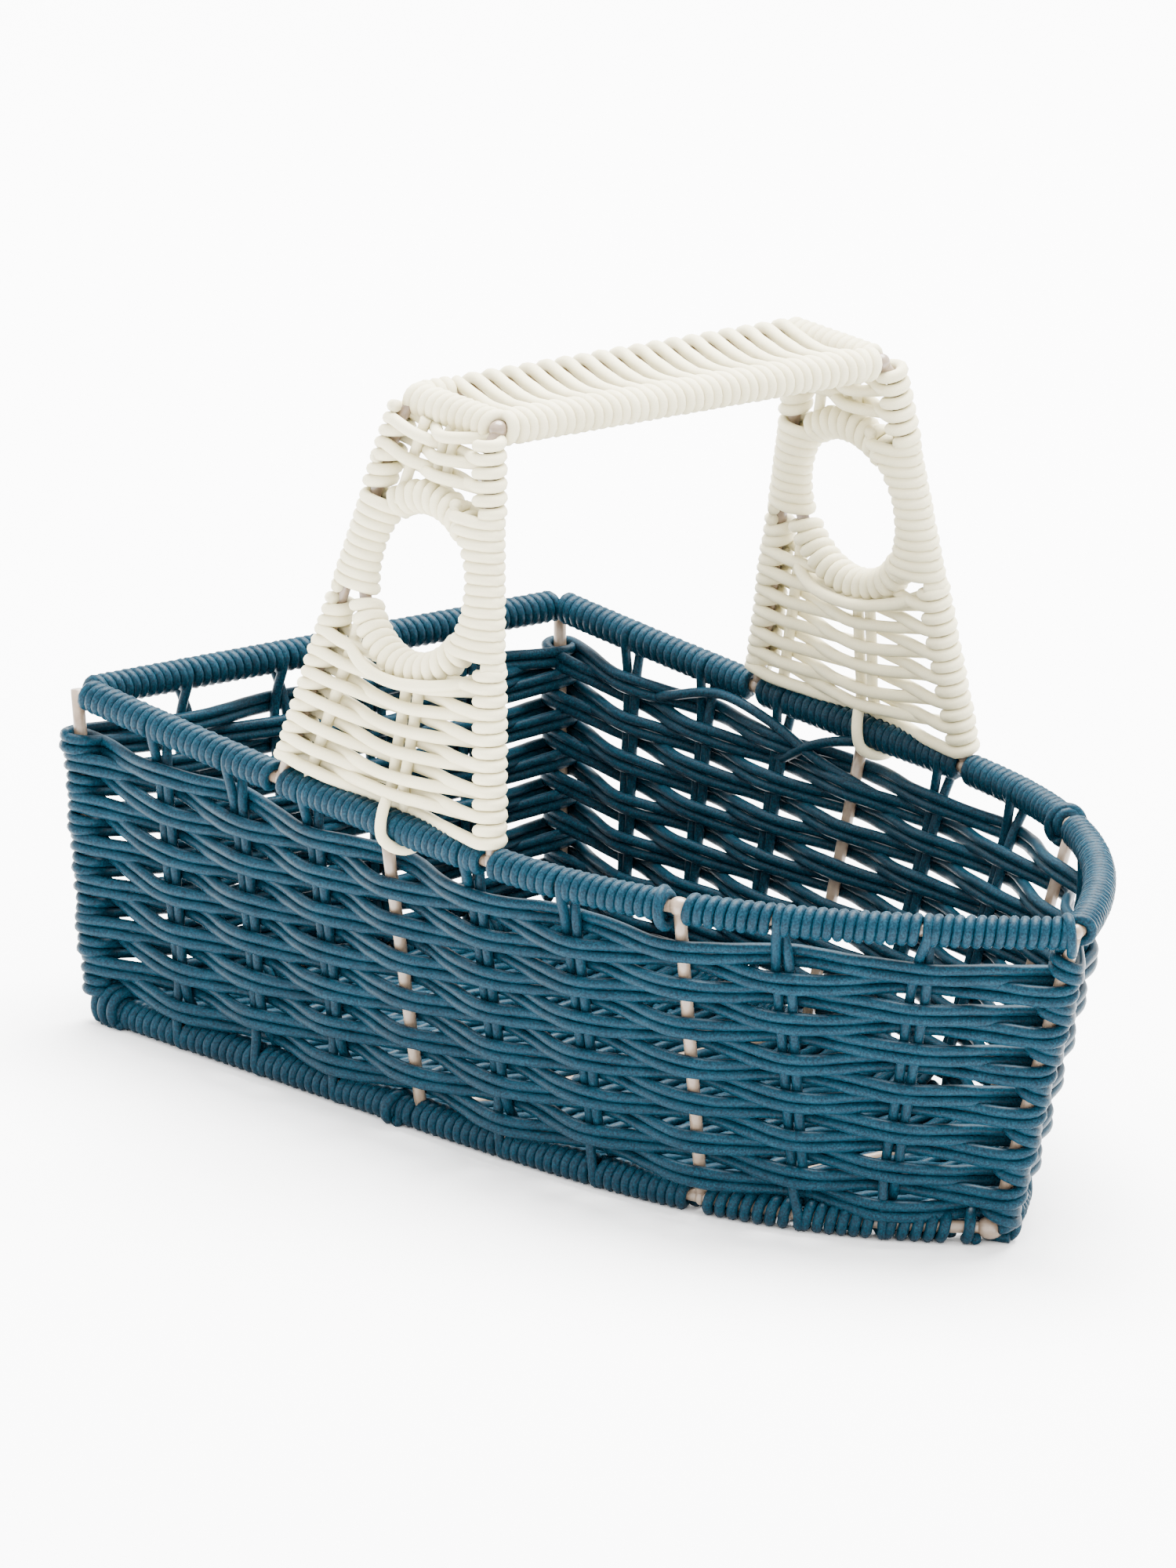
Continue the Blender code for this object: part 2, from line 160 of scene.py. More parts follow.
class Strands:
    """Collects swept tubes and makes one mesh piece of them."""

    def __init__(self, name, look, nodes):
        self.name, self.nodes = name, nodes
        self.material, self.slot = look
        self.points, self.quads, self.caps, self.count = [], [], [], 0

    def add(self, path, radius, sides=10, closed=False):
        """Sweep a round tube along the path. Nothing goes below the floor."""
        path = np.array(path, float)
        path[:, 2] = np.maximum(path[:, 2], radius)
        if closed:
            tangent = unit(np.roll(path, -1, 0) - np.roll(path, 1, 0))
        else:
            tangent = unit(np.gradient(path, axis=0))
        normal = np.empty_like(path)
        start = np.cross(tangent[0], (0.31, 0.17, 0.93))    # any side not along the strand
        normal[0] = start / np.linalg.norm(start)
        for i in range(1, len(path)):
            turned = normal[i - 1] - tangent[i] * np.dot(normal[i - 1], tangent[i])
            normal[i] = turned / np.linalg.norm(turned)
        side = np.cross(tangent, normal)
        angle = np.linspace(0, 2 * pi, sides, endpoint=False)
        ring = (np.cos(angle)[None, :, None] * normal[:, None]
                + np.sin(angle)[None, :, None] * side[:, None])
        rings = len(path)
        self.points.append((path[:, None] + ring * radius).reshape(-1, 3))
        row = np.arange(rings if closed else rings - 1)[:, None] * sides
        following = (row + sides) % (rings * sides)
        column = np.arange(sides)[None]
        after = (column + 1) % sides
        quad = np.stack([row + column, row + after, following + after, following + column], -1)
        self.quads.append(quad.reshape(-1, 4) + self.count)
        if not closed:
            last = (rings - 1) * sides + self.count
            self.caps.append(np.arange(self.count + sides - 1, self.count - 1, -1))
            self.caps.append(np.arange(last, last + sides))
        self.count += rings * sides

    def build(self):
        mesh = bpy.data.meshes.new(self.name)
        points, quads = np.concatenate(self.points), np.concatenate(self.quads)
        loops = np.concatenate([quads.reshape(-1)] + self.caps)
        sizes = np.concatenate([np.full(len(quads), 4),
                                np.array([len(cap) for cap in self.caps], int)])
        mesh.vertices.add(len(points))
        mesh.vertices.foreach_set("co", points.reshape(-1))
        mesh.loops.add(len(loops))
        mesh.loops.foreach_set("vertex_index", loops.astype(np.int32))
        mesh.polygons.add(len(sizes))
        starts = np.concatenate([[0], np.cumsum(sizes)[:-1]])
        mesh.polygons.foreach_set("loop_start", starts.astype(np.int32))
        mesh.update(calc_edges=True)
        mesh.validate()
        mesh.polygons.foreach_set("use_smooth", np.ones(len(mesh.polygons), bool))
        mesh.materials.append(self.material)
        piece = bpy.data.objects.new(self.name, mesh)
        bpy.context.scene.collection.objects.link(piece)
        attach(piece, "root")
        if self.nodes:
            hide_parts(*self.nodes)


def facing(direction):
    """A side that is the same at every point, for wrap."""
    return lambda points: np.broadcast_to(direction, np.shape(points))


def wrap(path, turn_radius, pitch, across, slots=()):
    """A strand wound round a route; across(points) gives each point's outward side.

    A slot is a place along the route where a stake's fold lies between two turns; the strand
    jumps over it on the underside, so the turns of each stretch between slots stay whole.
    """
    run = lengths(path)
    edges = [0.0]
    for slot in sorted(slots):
        edges += [slot - SLOT_HALF, slot + SLOT_HALF]
    edges.append(run[-1])
    per_turn = 14
    along, theta, turned = [], [], 0.0
    for start, end in zip(edges[::2], edges[1::2]):
        turns = max(1, round((end - start) / pitch))
        share = np.linspace(0.0, 1.0, turns * per_turn, endpoint=False)
        along.append(start + (end - start) * share)
        theta.append(turned + share * turns * 2 * pi)
        turned += turns * 2 * pi
    along, theta = np.concatenate(along), np.concatenate(theta)
    soft = np.array([1.0, 2.0, 3.0, 2.0, 1.0])
    along = np.convolve(np.pad(along, 2, mode="edge"), soft / soft.sum(), mode="valid")
    centre = read_at(path, run, along)
    tangent = unit(read_at(unit(np.gradient(path, axis=0)), run, along))
    out = unit(across(centre) - tangent * np.sum(across(centre) * tangent, -1, keepdims=True))
    up = np.cross(out, tangent)
    up = up * np.where(up[:, 2:3] < 0, -1.0, 1.0)
    angle = theta - pi / 2
    return centre + turn_radius * (np.cos(angle)[:, None] * out + np.sin(angle)[:, None] * up)


def arc(centre, radius, from_degrees, to_degrees, first_axis, second_axis, count):
    """Points of an arc round a wire, counted from the first axis toward the second."""
    angle = np.radians(np.linspace(from_degrees, to_degrees, count))[:, None]
    return centre + radius * (np.cos(angle) * first_axis + np.sin(angle) * second_axis)


# Materials ------------


class Nodes:
    """A small helper for building node materials."""

    def __init__(self, name):
        self.material = bpy.data.materials.new(name)
        self.material.use_nodes = True
        self.tree = self.material.node_tree
        self.shader = self.tree.nodes["Principled BSDF"]
        self.place = self.add("ShaderNodeTexCoord").outputs["Object"]

    def add(self, kind, **values):
        node = self.tree.nodes.new(kind)
        for key, value in values.items():
            if key in node.inputs:
                node.inputs[key].default_value = value
            else:
                setattr(node, key, value)
        return node

    def link(self, source, target):
        self.tree.links.new(source, target)

    def noise(self, scale, detail=2.0, roughness=0.5):
        node = self.add("ShaderNodeTexNoise", Scale=scale, Detail=detail, Roughness=roughness)
        self.link(self.place, node.inputs["Vector"])
        return node.outputs["Fac"]

    def ramp(self, source, stops):
        node = self.add("ShaderNodeValToRGB")
        ramp = node.color_ramp
        while len(ramp.elements) < len(stops):
            ramp.elements.new(0.5)
        for element, (at, colour) in zip(ramp.elements, stops):
            element.position = at
            element.color = (*colour, 1.0)
        self.link(source, node.inputs["Fac"])
        return node.outputs["Color"]

    def multiply(self, first, second):
        node = self.add("ShaderNodeMix", data_type="RGBA", blend_type="MULTIPLY")
        node.inputs[0].default_value = 1.0
        self.link(first, node.inputs[6])
        self.link(second, node.inputs[7])
        return node.outputs[2]

    def bump(self, source, strength, distance):
        node = self.add("ShaderNodeBump", Strength=strength, Distance=distance)
        self.link(source, node.inputs["Height"])
        self.link(node.outputs["Normal"], self.shader.inputs["Normal"])

    def colour(self, source):
        self.link(source, self.shader.inputs["Base Color"])

    def rough(self, source, low, high):
        node = self.add("ShaderNodeMapRange")
        node.inputs["To Min"].default_value = low
        node.inputs["To Max"].default_value = high
        self.link(source, node.inputs["Value"])
        self.link(node.outputs["Result"], self.shader.inputs["Roughness"])


def blue_resin():
    """Navy-teal resin with a fine light and dark speckle and a weak satin shine."""
    m = Nodes("blue_resin_strand")
    broad = m.noise(60.0, 3.0)
    base = m.ramp(broad, [(0.30, (0.0022, 0.0150, 0.0262)),
                          (0.70, (0.0031, 0.0200, 0.0340))])
    fine = m.noise(1500.0, 2.5, 0.75)
    speckle = m.ramp(fine, [(0.34, (0.45, 0.45, 0.47)),
                            (0.50, (1.0, 1.0, 1.0)),
                            (0.66, (1.95, 1.85, 1.70))])
    m.colour(m.multiply(base, speckle))
    m.rough(fine, 0.34, 0.50)
    m.bump(fine, 0.25, 0.0002)
    m.shader.inputs["Specular IOR Level"].default_value = 0.07
    return m.material


def cream_resin():
    """Warm cream resin with a faint grain."""
    m = Nodes("cream_resin_strand")
    broad = m.noise(45.0, 3.0)
    base = m.ramp(broad, [(0.30, (0.60, 0.548, 0.36)), (0.70, (0.68, 0.628, 0.43))])
    fine = m.noise(2200.0, 2.0, 0.7)
    grain = m.ramp(fine, [(0.30, (0.93, 0.93, 0.92)), (0.65, (1.0, 1.0, 1.0))])
    m.colour(m.multiply(base, grain))
    m.rough(fine, 0.46, 0.60)
    m.bump(fine, 0.2, 0.00015)
    m.shader.inputs["Specular IOR Level"].default_value = 0.2
    m.shader.inputs["Subsurface Weight"].default_value = 0.05
    m.shader.inputs["Subsurface Radius"].default_value = (0.002, 0.0016, 0.001)
    return m.material


def tan_paint():
    """Glossy tan paint on steel wire, a little uneven and darker in patches."""
    m = Nodes("tan_wire_paint")
    broad = m.noise(220.0, 4.0, 0.6)
    base = m.ramp(broad, [(0.30, (0.15, 0.105, 0.070)),
                          (0.52, (0.20, 0.148, 0.105)),
                          (0.75, (0.235, 0.178, 0.130))])
    m.colour(base)
    m.rough(broad, 0.24, 0.42)
    m.bump(m.noise(700.0, 2.0), 0.25, 0.0003)
    m.shader.inputs["Coat Weight"].default_value = 0.35
    m.shader.inputs["Coat Roughness"].default_value = 0.2
    return m.material


BLUE_LOOK = (blue_resin(), "blue_strand")
CREAM_LOOK = (cream_resin(), "cream_strand")
TAN_LOOK = (tan_paint(), "tan_paint")
SIDES = {"starboard": -1, "port": 1}

# Hull weave ------------

# Hull columns: 25 uprights round the hull, counted from the stern's starboard corner
# along the starboard side, round the bow and back along port and across the stern.
BOW_COLUMN, PORT_CORNER, COLUMNS = 10, 20, 25
POST_COLUMNS = (0, 4, 7, 10, 13, 16, 20)
STAKE_COLUMNS = [column for column in range(COLUMNS) if column not in POST_COLUMNS]
BAY_NAMES = ("aft", "mid", "bow")
# Bays of one side: first and last column, then the stations (base, rim) of the two posts.
BAYS = ((0, 4, (BASE_STERN, RIM_STERN), MID_POST),
        (4, 7, MID_POST, FORE_POST),
        (7, 10, FORE_POST, (BASE_BOW, RIM_BOW)))
# Where the two stakes of a bow bay stand between its posts, at the base and at the rim.
BOW_BAY_SHARES = ((0.0, 0.35, 0.62, 1.0), (0.0, 0.26, 0.63, 1.0))


def column_table(line, which):
    """Dense points of the rim or base wire against the column count, once round the hull."""
    columns, points = [], []
    for first, last, start, end in BAYS:
        stretch = line(np.linspace(start[which], end[which], 60), -1)
        run = lengths(stretch)
        even = np.linspace(0, 1, last - first + 1)
        shares = BOW_BAY_SHARES[which] if last == BOW_COLUMN else even
        columns.append(np.interp(run / run[-1], shares, np.arange(first, last + 1)))
        points.append(stretch)
    starboard_columns, starboard = np.concatenate(columns), np.concatenate(points)
    port = starboard[::-1] * (1, -1, 1)
    port_columns = 2 * BOW_COLUMN - starboard_columns[::-1]
    return (np.concatenate([starboard_columns, port_columns, [COLUMNS]]),
            np.concatenate([starboard, port, starboard[:1]]))


RIM_TABLE, BASE_TABLE = column_table(rim_line, 1), column_table(base_line, 0)


def on_table(table, column):
    columns, points = table
    return read_at(points, columns, np.mod(column, COLUMNS))


def wall_frame(column):
    """Foot and head of the hull wall at a column, and its outward and running directions."""
    low, high = on_table(BASE_TABLE, column), on_table(RIM_TABLE, column)
    reach = 0.07                # columns to either side that give the running direction
    ahead = on_table(BASE_TABLE, column + reach) + on_table(RIM_TABLE, column + reach)
    behind = on_table(BASE_TABLE, column - reach) + on_table(RIM_TABLE, column - reach)
    along = unit(ahead - behind)
    outward = unit(np.cross(along, unit(high - low)))
    return low, high, outward, along


ROWS = 13
FIRST_ROW = 0.083               # height of the lowest row as a share of the wall
ROW_RISE = 0.0644               # and of each row above the one before it
# At some columns, how many rows higher than that the lowest and the highest row stand.
ROW_LIFTS = ((0, 0.0, 0.0), (4, 0.16, 0.16), (7, 0.06, 0.18), (10, -0.55, 0.20),
             (13, 0.06, 0.18), (16, 0.16, 0.16), (20, 0.0, 0.0), (25, 0.0, 0.0))
CORNER_OUT = 1.8 * MM           # the stern posts stand just outside the wire corners
BOW_SET = 1.2 * MM              # and the bow post just inside the wires' bends
PAIR_HALF = BLUE * 0.97         # the two strands of a row lie this far above and below it
WALL_GAP = 0.30 * MM            # air between a strand and the upright it passes
POST_GAP = 0.35 * MM            # air between a strand and the post it turns round


def row_share(row, column):
    """Height of a row at a column as a share of the wall."""
    columns, lowest, highest = zip(*ROW_LIFTS)
    height = row / (ROWS - 1)
    lift = ((1 - height) * np.interp(column, columns, lowest)
            + height * np.interp(column, columns, highest))
    return FIRST_ROW + ROW_RISE * (row + lift)


def post_line(column):
    """Foot and head of the post the rows turn round: a stern corner or the bow."""
    if column == BOW_COLUMN:
        set_off = -X * BOW_SET
    else:
        set_off = (Y * (1 if column == PORT_CORNER else -1) - X) * CORNER_OUT
    return on_table(BASE_TABLE, column) + set_off, on_table(RIM_TABLE, column) + set_off


def turn_round(column, toward, share_from, share_to, leaving_outside, half, slack):
    """Half turn of a strand round an end post, from one face of its wall to the other.

    toward is the way its columns count as it comes to the post, +1 or -1; half sets it above
    or below its row, slack loosens the turn, and it leaves on the outer face or the inner one.
    """
    low, high = post_line(column)
    _, _, outward, along = wall_frame(column - toward * 0.25)
    radius = WIRE + BLUE + POST_GAP + slack
    points = []
    for share in (0.0, 0.25, 0.5, 0.75, 1.0):
        angle = pi / 2 - pi * share
        face = sin(angle) * (-1 if leaving_outside else 1)
        level = share_from + (share_to - share_from) * share
        place = low + (high - low) * level + Z * half
        points.append(place + radius * (face * outward + cos(angle) * toward * along))
    return points


def wall_weave(name, first, last, parity, start_forward):
    """One wall woven to and fro by a pair of strands that turn round its two end posts.

    parity is the row parity that lies outside at the first post; start_forward says whether
    the even rows run from the first post to the last.
    """
    if name in SIDES:
        nodes = [f"hull_weave_{name}_{bay}" for bay in BAY_NAMES]
    else:
        nodes = [f"hull_weave_{name}"]
    piece = Strands(f"hull_weavers_{name}", BLUE_LOOK, nodes)
    jitter = DRAW.normal(0, 0.30 * MM, (ROWS, COLUMNS + 1))
    slacks = DRAW.uniform(0.0, 1.1 * MM, ROWS)
    to_last = 1 if first < last else -1
    columns = list(range(first, last + to_last, to_last))
    for half in (-PAIR_HALF, PAIR_HALF):
        points = []
        for row in range(ROWS):
            forward = (row % 2 == 0) == start_forward
            order = columns if forward else columns[::-1]
            step = to_last if forward else -to_last
            if row == 0:
                begins_outside = (order[0] - first) % 2 == parity
                begin = row_share(row, order[0])
                points += turn_round(order[0], -step, begin - 0.015, begin, begins_outside,
                                     half, slacks[row])
            for column in order[1:-1]:
                low, high, outward, _ = wall_frame(column)
                outside = 1 if (row + column - first) % 2 == parity else -1
                upright = WIRE if column in POST_COLUMNS else STAKE
                level = row_share(row, column)
                place = low + (high - low) * level + Z * (half + jitter[row, column])
                points.append(place + outward * outside * (upright + BLUE + WALL_GAP))
            end = order[-1]
            outside_here = (row + end - first) % 2 == parity
            reach = row_share(row, end)
            after = row_share(min(row + 1, ROWS - 1), end)
            if outside_here:
                top = reach + 0.026 if end == BOW_COLUMN else after - 0.008
                points += turn_round(end, step, reach + 0.004, top, False, half, slacks[row])
            else:
                points += turn_round(end, step, after - 0.02, after, True, half, slacks[row])
        piece.add(wobble(smooth_curve(points), 0.10 * MM), BLUE)
    piece.build()


# Points of the two stray lengths: column, share of the wall's height, millimetres inside it.
PORT_TIES = (((18.8, 0.82, -2), (18.4, 0.87, 3), (17.7, 0.945, 4.5), (17.0, 0.92, 4.5),
              (16.4, 0.86, 4), (15.8, 0.82, 1), (15.5, 0.80, -2)),
             ((17.1, 0.79, -2), (16.75, 0.84, 3), (16.5, 0.89, 5), (16.2, 0.935, 5),
              (15.9, 0.965, 3), (15.7, 0.985, 0)))


def port_ties():
    """Two stray lengths on the port wall that bow up from the top row toward the rim."""
    piece = Strands("port_tie_strands", BLUE_LOOK, [])
    for stations in PORT_TIES:
        points = []
        for column, share, inside in stations:
            low, high, outward, _ = wall_frame(column)
            points.append(low + (high - low) * share - outward * inside * MM)
        piece.add(smooth_curve(points), BLUE * 0.95)
    piece.build()


def stakes():
    """Each stake is one strand: up from the base, over the rim and down again beside itself."""
    piece = Strands("hull_stakes", BLUE_LOOK, [])
    for column in STAKE_COLUMNS:
        base, rim, outward, along = wall_frame(column)
        tall = np.linalg.norm(rim - base)
        rise = (rim - base) / tall
        level = unit(outward * (1, 1, 0))
        beside = along * (STAKE + 0.25 * MM)
        lean = along * DRAW.normal(0, 0.5 * MM)
        middle = base + rise * (tall * 0.45) + lean * 0.4
        shoulder = base + rise * (tall - 15 * MM)
        route = [*arc(base, BLUE_TURN + 0.5 * MM, -150, 10, level, Z, 5),
                 base + level * 2.0 * MM + rise * 8.0 * MM - beside * 0.6 + lean,
                 base + rise * 16 * MM - beside,
                 middle - beside,
                 shoulder - beside * 1.1,
                 *arc(rim, RIM_TURN + 0.15 * MM, -20, 200, level, Z, 7),
                 shoulder + beside * 1.1,
                 middle + beside,
                 base + rise * 14 * MM + beside,
                 base - level * 4.0 * MM + Z * 4.5 * MM + beside]
        piece.add(smooth_curve(route, 1.6 * MM), STAKE)
    piece.build()


# Windings of the rim and the base, and the floor ------------

# Stretches between the welds: name, first and last station. Trims are the bare ends.
RIM_STRETCHES = (("aft", RIM_STERN, LEG_FEET["aft"]), ("mid", LEG_FEET["aft"], LEG_FEET["fore"]),
                 ("fore", LEG_FEET["fore"], FORE_POST[1]), ("bow", FORE_POST[1], RIM_BOW))
RIM_TRIMS = ((2.6 * MM, 2.6 * MM), (2.6 * MM, 2.4 * MM), (2.4 * MM, 3.0 * MM),
             (3.0 * MM, 1.6 * MM))
BASE_STRETCHES = (("aft", BASE_STERN, MID_POST[0]), ("mid", MID_POST[0], FORE_POST[0]),
                  ("bow", FORE_POST[0], BASE_BOW))
BASE_TRIMS = ((6.2 * MM, 0.4 * MM), (0.4 * MM, 3.0 * MM), (3.0 * MM, 14.0 * MM))
STERN_TRIM = 3.0 * MM           # from the stern corners to the first turn across the stern
SLOT_REACH = 3 * MM             # a stake closer to the wire than this crosses its winding
SLOT_INSET = 4 * MM             # no slot so close to the end of a stretch
HULL_MIDDLE = np.array([0.02, 0.0, 0.0])    # the windings' outer sides face away from it


def slots_on(path, table):
    """Distances along a wound stretch where stakes cross it."""
    run = lengths(path)
    found = []
    for column in STAKE_COLUMNS:
        gap = np.linalg.norm(path - on_table(table, column), axis=1)
        nearest = int(np.argmin(gap))
        if gap[nearest] < SLOT_REACH and SLOT_INSET < run[nearest] < run[-1] - SLOT_INSET:
            found.append(run[nearest])
    return found


def trimmed(path, start, end):
    """The path without its two ends, densely sampled."""
    run = lengths(path)
    count = max(8, int(run[-1] / (0.5 * MM)))
    return read_at(path, run, np.linspace(start, run[-1] - end, count))


def outwards(points):
    """Level side facing away from the middle of the hull."""
    return unit((points - HULL_MIDDLE) * (1, 1, 0))


def ring_wraps(name, line, table, stretches, trims, radius, turn_radius, pitches):
    """One strand wound round each stretch of the rim or base wire between welds."""
    add_loops = base_loops if name == "base" else rim_loops

    def winding(where, route, pitch, across):
        piece = Strands(f"{name}_winding_{where}", BLUE_LOOK, [f"{name}_wrap_{where}"])
        wound = wrap(route, turn_radius, pitch, across, slots_on(route, table))
        piece.add(wobble(wound, 0.05 * MM, 9 * MM), radius)
        return piece

    for side_name, side in SIDES.items():
        for (stretch, start, end), trim, pitch in zip(stretches, trims, pitches):
            route = trimmed(line(np.linspace(start, end, 80), side), *trim)
            piece = winding(f"{side_name}_{stretch}", route, pitch, outwards)
            add_loops(piece, side, stretch)
            piece.build()
    corners = [line(stretches[0][1], side) for side in (-1, 1)]
    route = trimmed(np.linspace(*corners, 60), STERN_TRIM, STERN_TRIM)
    winding("stern", route, pitches[0], facing(-X)).build()


def loose_loop(centre, along, out, wide, tall, slide):
    """One slack turn round a wire, wider than the tight winding; its sizes are millimetres."""
    share = np.linspace(-0.5, 0.5, 16)[:, None]
    angle = np.linspace(-0.4 * pi, 1.75 * pi, 16)[:, None]
    turn = wide * np.cos(angle) * out + tall * np.sin(angle) * Z + slide * share * along
    return smooth_curve(centre + turn * MM, 1.2 * MM)


def rim_loops(piece, side, stretch):
    """Slack turns where the rim winding ends beside the fore posts and the starboard bow."""
    if stretch == "fore":
        station, wide = FORE_POST[1] - 5 * MM, 5.3
    elif stretch == "bow" and side < 0:
        station, wide = RIM_BOW - 1.8 * MM, 4.6
    else:
        return
    centre = rim_line(station, side)
    along = unit(rim_line(station + 0.5 * MM, side) - centre)
    out = np.cross(along, Z) * side
    piece.add(loose_loop(centre - Z * 0.9 * MM, along, out, wide, 5.6, 4.0), RIM_STRAND)


# Slack turns round the stern corner: degrees turned to the stern, then millimetres toward
# the bow, width and height.
CORNER_LOOPS = ((38, 2.2, 6.2, 6.9), (20, 4.8, 5.8, 6.5), (6, 8.0, 5.3, 5.7))
# Slack turns at the bow foot on each side: millimetres from the foot, width, height, lean.
FOOT_LOOPS = {-1: ((8.6, 4.6, 4.6, 10.5),), 1: ((2.6, 5.0, 5.2, 4.5), (6.2, 4.6, 4.6, 4.5))}
FOOT_SLOPE = 50                 # degrees between the wire at the bow foot and the hull's length


def base_loops(piece, side, stretch):
    """Slack turns of the base winding at the stern corner, the mid post and the bow foot."""
    if stretch == "aft":
        corner = base_line(BASE_STERN, side)
        for degrees, back, wide, tall in CORNER_LOOPS:
            turned = radians(degrees)
            out = Y * side * cos(turned) - X * sin(turned)
            along = X * cos(turned) + Y * side * sin(turned)
            centre = corner + X * back * MM + Z * 1.4 * MM
            piece.add(loose_loop(centre, along, out, wide, tall, 2.0), BLUE)
        sag = base_line(MID_POST[0] - 8 * MM, side) + Y * side * 0.8 * MM
        piece.add(loose_loop(sag, X, Y * side, 5.3, 4.6, 4.0), BLUE)
    if stretch == "bow":
        foot = base_line(BASE_BOW, side)
        slope = radians(FOOT_SLOPE)
        along = X * cos(slope) - Y * side * sin(slope)
        for back, wide, tall, lean in FOOT_LOOPS[side]:
            out = X * sin(radians(FOOT_SLOPE + lean)) + Y * side * cos(slope)
            centre = foot - along * back * MM + Z * 0.4 * MM
            piece.add(loose_loop(centre, along, out, wide, tall, 3.0), BLUE)


def floor_weave():
    """Strands laid side by side across the floor, over and under lengthwise pairs."""
    piece = Strands("floor_strands", BLUE_LOOK, [f"floor_weave_{bay}" for bay in BAY_NAMES])
    lengthwise = np.array([-60, -36, -12, 12, 36, 60]) * MM
    station, over = BASE_STERN + 7 * MM, -1
    while station < BASE_BOW - 9 * MM:
        edge = base_line(station, 1)[1] - 1.0 * MM
        x = station + SHIFT
        points = [(x, -edge, BASE_HEIGHT + 3.4 * MM)]
        for number, y in enumerate(lengthwise):
            if abs(y) < edge - 9 * MM:
                lift = over * (1 if number % 2 else -1) * 1.3 * MM
                points.append((x + 2.5 * MM * y / edge, y, BASE_HEIGHT - 0.6 * MM + lift))
        points.append((x, edge, BASE_HEIGHT + 3.4 * MM))
        piece.add(wobble(smooth_curve(points, 3.0 * MM), 0.15 * MM), BLUE * 0.95, 8)
        station += 3.45 * MM
        over = -over
    stations = np.linspace(BASE_STERN + 4 * MM, BASE_BOW, 200)
    for y in lengthwise:
        inside = stations[base_line(stations, 1)[:, 1] > abs(y) + 6 * MM]
        level = np.full(len(inside), BASE_HEIGHT - 1.2 * MM)
        for beside in (-BLUE, BLUE):
            path = np.stack([inside + SHIFT, np.full(len(inside), y + beside), level], -1)
            piece.add(resample(path, 5 * MM), BLUE * 0.9, 8)
    piece.build()


# Wires ------------

def rounded(points, corners, radius, steps=6):
    """Replace the numbered corner points of a route by short bends."""
    result = []
    last = len(points)
    for index, point in enumerate(points):
        point = np.asarray(point, float)
        if index not in corners:
            result.append(point)
            continue
        before = unit(np.asarray(points[(index - 1) % last]) - point)
        after = unit(np.asarray(points[(index + 1) % last]) - point)
        half = np.arccos(np.clip(before @ after, -1, 1)) / 2
        centre = point + unit(before + after) * radius / sin(half)
        cut = radius / np.tan(half)
        start, end = point + before * cut, point + after * cut
        for share in np.linspace(0, 1, steps):
            chord = unit(start + (end - start) * share - centre)
            result.append(centre + chord * radius)
    return np.array(result)


def wire(node, path, closed=False, radius=WIRE):
    piece = Strands(f"{node}_round", TAN_LOOK, [node])
    piece.add(path, radius, 16, closed)
    return piece


def weld_bead(piece, point, along, length, radius):
    """A short soft swelling where two wires are welded."""
    rings, sides = 9, 12
    span = np.linspace(-1, 1, rings)
    path = point + np.outer(span * length / 2, unit(along))
    piece.add(path, radius, sides)
    points = piece.points[-1].reshape(rings, sides, 3)
    swell = np.sqrt(np.maximum(0.12, 1 - span ** 2))[:, None, None]
    piece.points[-1] = (path[:, None] + (points - path[:, None]) * swell).reshape(-1, 3)


def frame_wires():
    for node, line, stern, bow in (("top_rim_wire", rim_line, RIM_STERN, RIM_BOW),
                                   ("base_rim_wire", base_line, BASE_STERN, BASE_BOW)):
        port = line(np.linspace(stern, bow, 70), 1)
        starboard = (port * (1, -1, 1))[::-1][1:]
        corners = {0, len(port) - 1, len(port) * 2 - 2}
        loop = rounded([*port, *starboard], corners, 5 * MM)
        ring = wire(node, loop, closed=True)
        if line is base_line:
            bend_end = loop[len(port) + 8]      # on the starboard half of the bow's bend
            weld_bead(ring, bend_end, X * 0.5 + Y, 9 * MM, 3.7 * MM)
        ring.build()
    for name, side in SIDES.items():
        set_off = (Y * side - X) * CORNER_OUT
        foot, head = base_line(BASE_STERN, side) + set_off, rim_line(RIM_STERN, side) + set_off
        wire(f"stern_post_{name}", np.linspace(foot, head + Z * MM, 8), radius=2.1 * MM).build()
        foot, head = base_line(MID_POST[0], side), rim_line(MID_POST[1], side)
        wire(f"mid_post_{name}", np.linspace(foot + Z * MM, head - Z * 4 * MM, 8)).build()
        foot, head = base_line(FORE_POST[0], side), rim_line(FORE_POST[1], side)
        fore = wire(f"fore_post_{name}", np.linspace(foot + Z * MM, head, 12))
        seam = X * 0.9 - Y * side * 0.4
        weld_bead(fore, head + Z * 0.3 * MM, seam, 7 * MM, 3.1 * MM)
        weld_bead(fore, foot, seam, 4 * MM, 2.7 * MM)
        fore.build()
    foot, head = base_line(BASE_BOW, 1) - X * BOW_SET, rim_line(RIM_BOW, 1) - X * BOW_SET
    bow = wire("bow_post", np.linspace(foot, head + Z * 0.5 * MM, 12), radius=2.3 * MM)
    weld_bead(bow, head, Z, 5 * MM, 2.6 * MM)
    bow.build()
    for node, station in (("mid_floor_wire", MID_POST[0]), ("fore_floor_wire", FORE_POST[0])):
        end = base_line(station, 1)
        wire(node, np.linspace(end * (1, -1, 1), end, 12)).build()


# Handle ------------

PANEL_RISE = HANDLE_TOP - RIM_HEIGHT
PANEL_LENGTH = hypot(PANEL_RISE, RIM_WIDTH - HANDLE_WIDTH)
RING_RADIUS = 27.0 * MM
RING_UP = 76.7 * MM             # height of the porthole's middle on its side
PASSING = 3.3 * MM              # a woven strand's distance in front of or behind an upright


